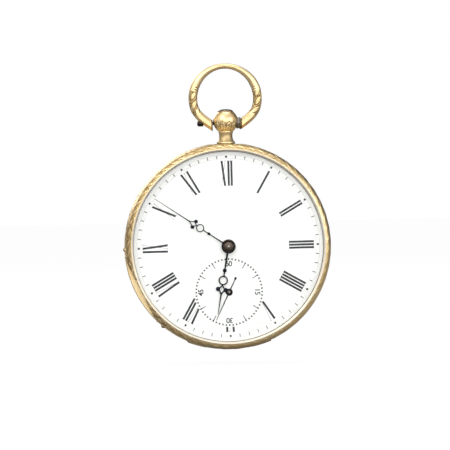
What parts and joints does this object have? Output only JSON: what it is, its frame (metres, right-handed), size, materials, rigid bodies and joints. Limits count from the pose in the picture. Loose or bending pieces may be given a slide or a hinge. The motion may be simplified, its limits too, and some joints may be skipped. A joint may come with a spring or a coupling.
{
  "type": "open face pocket watch",
  "caption": "Open-faced key-wound fob watch with a hinged bezel, hinged back and cuvette, ball pendant, swinging bow and a bar movement.",
  "frame": {"origin": "on the axis of the hour and minute hands, on the flat of the back cover", "axes": "+Z towards twelve o'clock and the bow, +X towards three o'clock, -Y out of the dial, +Y out of the back"},
  "size_m": [0.0421, 0.0114, 0.0583],
  "materials": {
    "case_gold": "polished and chased yellow gold",
    "crystal": "clear domed glass",
    "hinge_steel": "drawn pin",
    "push_steel": "grey polished steel",
    "screw_steel": "blued and darkened steel",
    "enamel": "white vitreous enamel with dark slate printing",
    "hand_steel": "blued, nearly black steel",
    "gilt": "grained gilding",
    "wheel_brass": "polished brass",
    "steel": "polished steel",
    "ruby": "red jewel",
    "spring_blue": "blued spring steel",
    "balance_gold": "polished gilt brass"
  },
  "bodies": {
    "case": {"case_band": "case_gold", "pendant": "case_gold", "bezel_hinge_pin": "hinge_steel", "back_hinge_pin": "hinge_steel", "lock_spring": "spring_blue", "bow_screw": "screw_steel", "bow_pin": "screw_steel", "bow_collar": "push_steel", "case_screws": "screw_steel", "dial": "enamel", "main_plate": "gilt", "barrel_bar": "gilt", "centre_bar": "gilt", "third_bar": "gilt", "fourth_bar": "gilt", "balance_cock": "gilt", "escape_cock": "gilt", "bar_screws": "screw_steel", "cock_screws": "screw_steel", "train_jewels": "ruby", "balance_jewels": "ruby", "click_screw": "screw_steel", "click_spring": "spring_blue", "hairspring": "spring_blue", "hairspring_stud": "spring_blue", "endstone_cap": "steel"},
    "front": {"bezel": "case_gold", "glass": "crystal"},
    "back": {"back_cover": "case_gold"},
    "inner_back": {"cuvette": "case_gold"},
    "bow": {"bow": "case_gold"},
    "push": {"push_piece": "push_steel"},
    "barrel": {"barrel": "gilt", "barrel_cover": "gilt", "mainspring": "spring_blue"},
    "winding": {"barrel_arbor": "steel", "ratchet_wheel": "steel"},
    "click": {"click": "steel"},
    "centre": {"centre_arbor": "steel", "centre_wheel": "wheel_brass", "setting_arbor": "steel", "cannon_pinion": "steel", "minute_hand": "hand_steel", "minute_hand_boss": "hand_steel"},
    "third": {"third_pinion": "steel", "third_wheel": "wheel_brass"},
    "seconds": {"fourth_pinion": "steel", "fourth_wheel": "wheel_brass", "seconds_hand": "hand_steel"},
    "escape": {"escape_pinion": "steel", "escape_wheel": "steel"},
    "minute_work": {"minute_wheel": "wheel_brass"},
    "hours": {"hour_wheel": "wheel_brass", "hour_hand": "hand_steel"},
    "balance": {"balance_wheel": "balance_gold", "balance_cylinder": "steel", "hairspring_collet": "wheel_brass"},
    "regulator": {"regulator": "steel"}
  },
  "joints": [
    {"name": "bezel_hinge", "type": "hinge", "parent": "case", "child": "front", "pos_m": [-0.01742, -0.0073, -0.00831], "axis": [0.4305, 0, -0.9026], "range_deg": [0, 90]},
    {"name": "back_hinge", "type": "hinge", "parent": "case", "child": "back", "pos_m": [0, -0.0022, -0.0193], "axis": [-1, 0, 0], "range_deg": [0, 90]},
    {"name": "cuvette_hinge", "type": "hinge", "parent": "case", "child": "inner_back", "pos_m": [0, -0.0022, -0.0193], "axis": [-1, 0, 0], "range_deg": [0, 67.5]},
    {"name": "bow_swing", "type": "hinge", "parent": "case", "child": "bow", "pos_m": [0, -0.005, 0.0251], "axis": [1, 0, 0], "range_deg": [-85, 85]},
    {"name": "push_travel", "type": "slide", "parent": "case", "child": "push", "axis": [0, 0, -1], "range_m": [0, 0.0005], "stiffness_N_per_m": 400},
    {"name": "seconds_turn", "type": "hinge", "parent": "case", "child": "seconds", "pos_m": [0, -0.005, -0.0093], "axis": [0, 1, 0], "continuous": true},
    {"name": "third_turn", "type": "hinge", "parent": "case", "child": "third", "pos_m": [0.00244, -0.005, -0.00522], "axis": [0, 1, 0], "continuous": true},
    {"name": "centre_turn", "type": "hinge", "parent": "case", "child": "centre", "pos_m": [0, -0.005, 0], "axis": [0, 1, 0], "continuous": true},
    {"name": "barrel_turn", "type": "hinge", "parent": "case", "child": "barrel", "pos_m": [0.0045, -0.005, 0.00779], "axis": [0, 1, 0], "continuous": true},
    {"name": "escape_turn", "type": "hinge", "parent": "case", "child": "escape", "pos_m": [-0.0033, -0.005, -0.00711], "axis": [0, 1, 0], "continuous": true},
    {"name": "minute_work_turn", "type": "hinge", "parent": "case", "child": "minute_work", "pos_m": [0.00361, -0.005, 0.00131], "axis": [0, 1, 0], "continuous": true},
    {"name": "hour_turn", "type": "hinge", "parent": "case", "child": "hours", "pos_m": [0, -0.005, 0], "axis": [0, 1, 0], "continuous": true},
    {"name": "balance_swing", "type": "hinge", "parent": "case", "child": "balance", "pos_m": [-0.0073, -0.005, -0.00711], "axis": [0, 1, 0], "range_deg": [-120, 120], "stiffness_Nm_per_rad": 0.000001},
    {"name": "regulator_turn", "type": "hinge", "parent": "case", "child": "regulator", "pos_m": [-0.0073, -0.0017, -0.00711], "axis": [0, 1, 0], "range_deg": [-20, 20]},
    {"name": "winding_turn", "type": "hinge", "parent": "case", "child": "winding", "pos_m": [0.0045, -0.005, 0.00779], "axis": [0, -1, 0], "range_deg": [0, 12]},
    {"name": "click_lift", "type": "hinge", "parent": "case", "child": "click", "pos_m": [0.0013, -0.0025, 0.01067], "axis": [0, 1, 0], "range_deg": [0, 6.6]}
  ],
  "couplings": [
    {"joint": "cuvette_hinge", "follows": "back_hinge", "ratio": 0.75},
    {"joint": "third_turn", "follows": "seconds_turn", "ratio": -0.13333},
    {"joint": "centre_turn", "follows": "seconds_turn", "ratio": 0.016667},
    {"joint": "barrel_turn", "follows": "seconds_turn", "ratio": -0.0020833},
    {"joint": "escape_turn", "follows": "seconds_turn", "ratio": -10},
    {"joint": "minute_work_turn", "follows": "seconds_turn", "ratio": -0.0055556},
    {"joint": "hour_turn", "follows": "seconds_turn", "ratio": 0.0013889},
    {"joint": "click_lift", "follows": "winding_turn", "ratio": 0.55}
  ]
}
